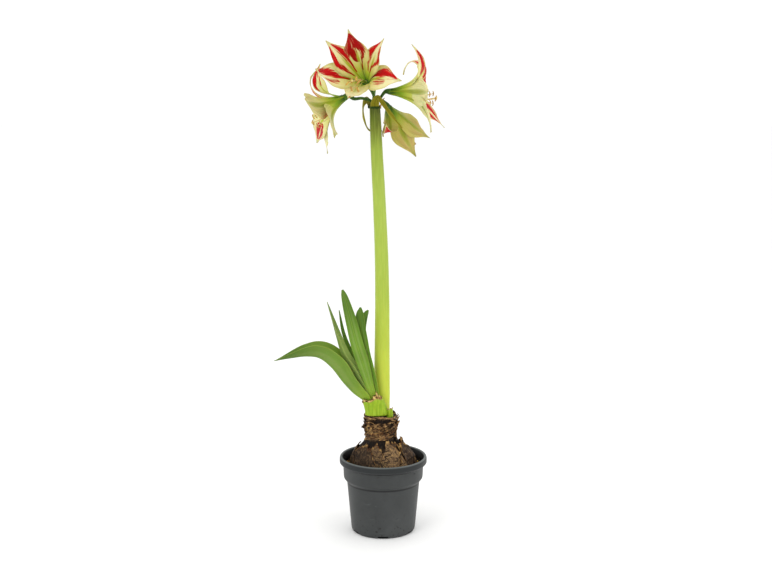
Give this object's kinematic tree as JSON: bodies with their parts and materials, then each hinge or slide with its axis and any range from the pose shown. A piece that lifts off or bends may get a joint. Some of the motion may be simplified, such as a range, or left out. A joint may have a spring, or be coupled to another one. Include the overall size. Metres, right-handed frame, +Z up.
{
  "type": "potted amaryllis",
  "caption": "Amaryllis in bloom: a bulb in a round nursery pot, strap leaves, a tall flower stem and open trumpet blooms with stamens.",
  "frame": {"origin": "centre of the pot's flat base", "axes": "+Z up along the flower stem; +X to the right and -Y towards the viewer, with the strap leaves towards -X and the open front bloom towards -Y"},
  "size_m": [0.2534, 0.1856, 0.7415],
  "materials": {
    "pot": "dark grey, moulded, faintly scuffed",
    "soil": "damp peat with crumbs of orange and yellow fibre",
    "bulb": "dry papery scales, brown with dark edges",
    "sheath": "smooth yellow-green, with a torn papery rim",
    "scape": "smooth green stem with a faint bloom",
    "leaf": "satin green with fine lengthwise veins",
    "bract": "papery, olive to brown",
    "tepal": "satin cream with red streaks and a green throat",
    "stamen": "pale yellow filaments and golden anthers",
    "bud": "satin green flushed with pink"
  },
  "bodies": {
    "root": {"pot": "pot", "soil": "soil", "bulb": "bulb", "sheath": "sheath", "scape": "scape", "leaf_arching": "leaf", "leaf_left": "leaf", "leaf_slim": "leaf", "leaf_tall": "leaf", "leaf_dark": "leaf", "leaf_back": "leaf", "bract_front": "bract", "bract_back": "bract", "bracteole": "bract", "bloom_front": "tepal", "bloom_left": "tepal", "bloom_right": "tepal", "bloom_lower": "tepal", "stamens_front": "stamen", "stamens_left": "stamen", "stamens_right": "stamen", "stamens_lower": "stamen", "bud": "bud"}
  },
  "joints": []
}
